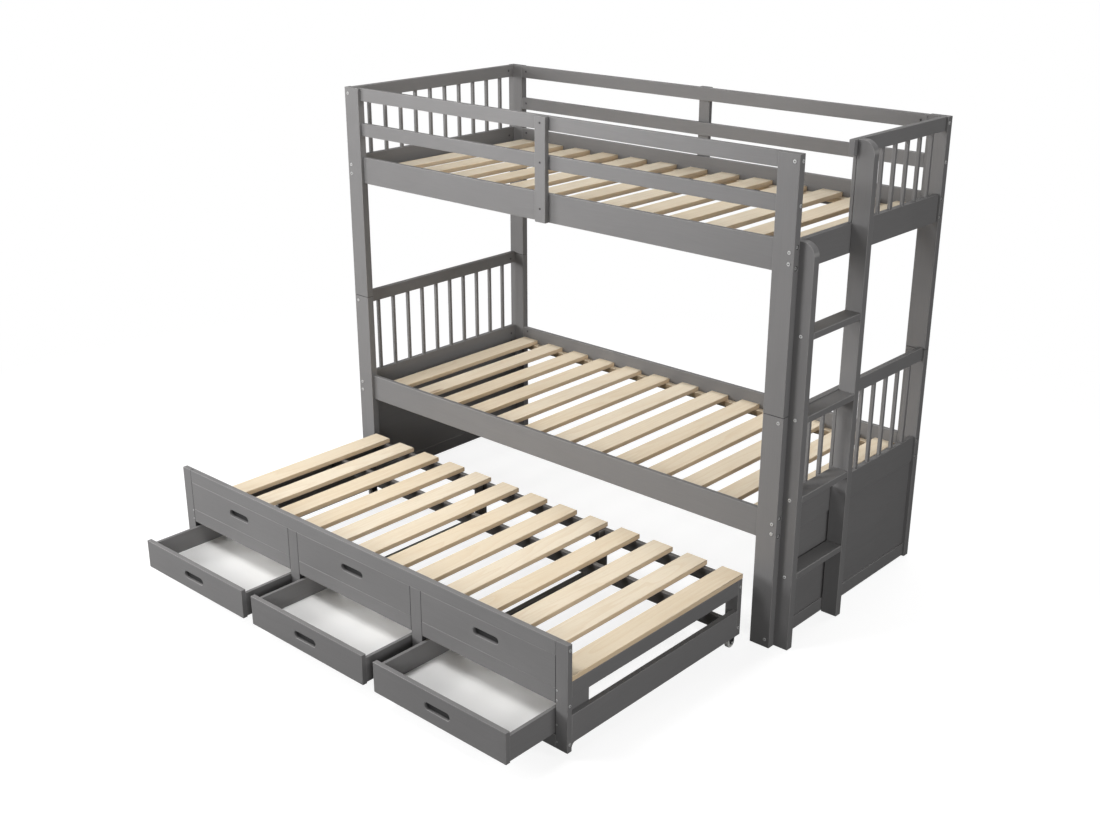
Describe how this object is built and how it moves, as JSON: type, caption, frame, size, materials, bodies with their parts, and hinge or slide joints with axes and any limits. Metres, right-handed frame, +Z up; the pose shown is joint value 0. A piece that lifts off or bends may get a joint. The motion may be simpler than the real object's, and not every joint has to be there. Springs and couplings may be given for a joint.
{
  "type": "bunk bed with trundle",
  "caption": "Painted wooden bunk bed with slatted bunks, end ladder, guard rails and a trundle bed on casters that rolls out from below and carries storage drawers.",
  "frame": {"origin": "on the floor, under the middle of the whole part as stored, with the trundle rolled out and the drawers part open", "axes": "+X along the bed to the ladder end, +Y to the back, -Y towards the rolled-out trundle, +Z up"},
  "size_m": [2.1542, 2.1212, 1.69],
  "materials": {
    "painted_wood": "satin mid-grey paint, smooth, slightly eased edges",
    "natural_wood": "pale natural softwood with fine grain along the slats",
    "white_board": "smooth white board",
    "caster_housing": "semi-gloss black painted sheet steel",
    "wheel_plastic": "pale grey moulded plastic"
  },
  "bodies": {
    "bed": {"post_lower_head_front": "painted_wood", "post_lower_head_back": "painted_wood", "post_lower_foot_front": "painted_wood", "post_lower_foot_back": "painted_wood", "post_upper_head_front": "painted_wood", "post_upper_head_back": "painted_wood", "post_upper_foot_front": "painted_wood", "post_upper_foot_back": "painted_wood", "side_rail_upper_front": "painted_wood", "side_rail_lower_front": "painted_wood", "guard_rail_top_front": "painted_wood", "guard_rail_middle_front": "painted_wood", "guard_stile_front": "painted_wood", "side_rail_upper_back": "painted_wood", "side_rail_lower_back": "painted_wood", "guard_rail_top_back": "painted_wood", "guard_rail_middle_back": "painted_wood", "guard_stile_back": "painted_wood", "end_panel_upper_head": "painted_wood", "end_panel_lower_head": "painted_wood", "end_board_head": "painted_wood", "end_panel_upper_foot": "painted_wood", "end_panel_lower_foot": "painted_wood", "end_board_foot": "painted_wood", "slat_deck_upper": "natural_wood", "slat_deck_lower": "natural_wood", "ladder_stile_front": "painted_wood", "ladder_stile_back": "painted_wood", "ladder_tread_1": "painted_wood", "ladder_tread_2": "painted_wood", "ladder_tread_3": "painted_wood", "ladder_tread_4": "painted_wood"},
    "trundle": {"trundle_fascia": "painted_wood", "trundle_stile_left": "painted_wood", "trundle_stile_right": "painted_wood", "trundle_bottom_rail": "painted_wood", "trundle_middle_frame_left": "painted_wood", "trundle_middle_frame_right": "painted_wood", "trundle_end_frame_left": "painted_wood", "trundle_end_frame_right": "painted_wood", "trundle_back_frame": "painted_wood", "trundle_centre_rail": "painted_wood", "trundle_slat_deck": "natural_wood", "caster_bracket_front_left": "caster_housing", "caster_bracket_rear_left": "caster_housing", "caster_bracket_front_right": "caster_housing", "caster_bracket_rear_right": "caster_housing"},
    "wheel_front_left": {"caster_wheel_front_left": "wheel_plastic"},
    "wheel_rear_left": {"caster_wheel_rear_left": "wheel_plastic"},
    "wheel_front_right": {"caster_wheel_front_right": "wheel_plastic"},
    "wheel_rear_right": {"caster_wheel_rear_right": "wheel_plastic"},
    "drawer_left": {"drawer_front_left": "painted_wood", "drawer_box_left": "painted_wood", "drawer_bottom_left": "white_board"},
    "drawer_middle": {"drawer_front_middle": "painted_wood", "drawer_box_middle": "painted_wood", "drawer_bottom_middle": "white_board"},
    "drawer_right": {"drawer_front_right": "painted_wood", "drawer_box_right": "painted_wood", "drawer_bottom_right": "white_board"}
  },
  "joints": [
    {"name": "trundle_slide", "type": "slide", "parent": "bed", "child": "trundle", "axis": [0, 1, 0], "range_m": [0, 0.942]},
    {"name": "wheel_front_left_spin", "type": "hinge", "parent": "trundle", "child": "wheel_front_left", "pos_m": [-0.94515, -0.80535, 0.02], "axis": [1, 0, 0], "continuous": true},
    {"name": "wheel_rear_left_spin", "type": "hinge", "parent": "trundle", "child": "wheel_rear_left", "pos_m": [-0.93115, 0.01335, 0.02], "axis": [1, 0, 0], "continuous": true},
    {"name": "wheel_front_right_spin", "type": "hinge", "parent": "trundle", "child": "wheel_front_right", "pos_m": [0.89085, -0.80535, 0.02], "axis": [1, 0, 0], "continuous": true},
    {"name": "wheel_rear_right_spin", "type": "hinge", "parent": "trundle", "child": "wheel_rear_right", "pos_m": [0.91485, 0.01335, 0.02], "axis": [1, 0, 0], "continuous": true},
    {"name": "drawer_left_slide", "type": "slide", "parent": "trundle", "child": "drawer_left", "axis": [0, -1, 0], "range_m": [-0.211, 0.07]},
    {"name": "drawer_middle_slide", "type": "slide", "parent": "trundle", "child": "drawer_middle", "axis": [0, -1, 0], "range_m": [-0.211, 0.07]},
    {"name": "drawer_right_slide", "type": "slide", "parent": "trundle", "child": "drawer_right", "axis": [0, -1, 0], "range_m": [-0.211, 0.07]}
  ],
  "couplings": [
    {"joint": "wheel_front_left_spin", "follows": "trundle_slide", "rad_per_m": -50},
    {"joint": "wheel_rear_left_spin", "follows": "trundle_slide", "rad_per_m": -50},
    {"joint": "wheel_front_right_spin", "follows": "trundle_slide", "rad_per_m": -50},
    {"joint": "wheel_rear_right_spin", "follows": "trundle_slide", "rad_per_m": -50}
  ]
}
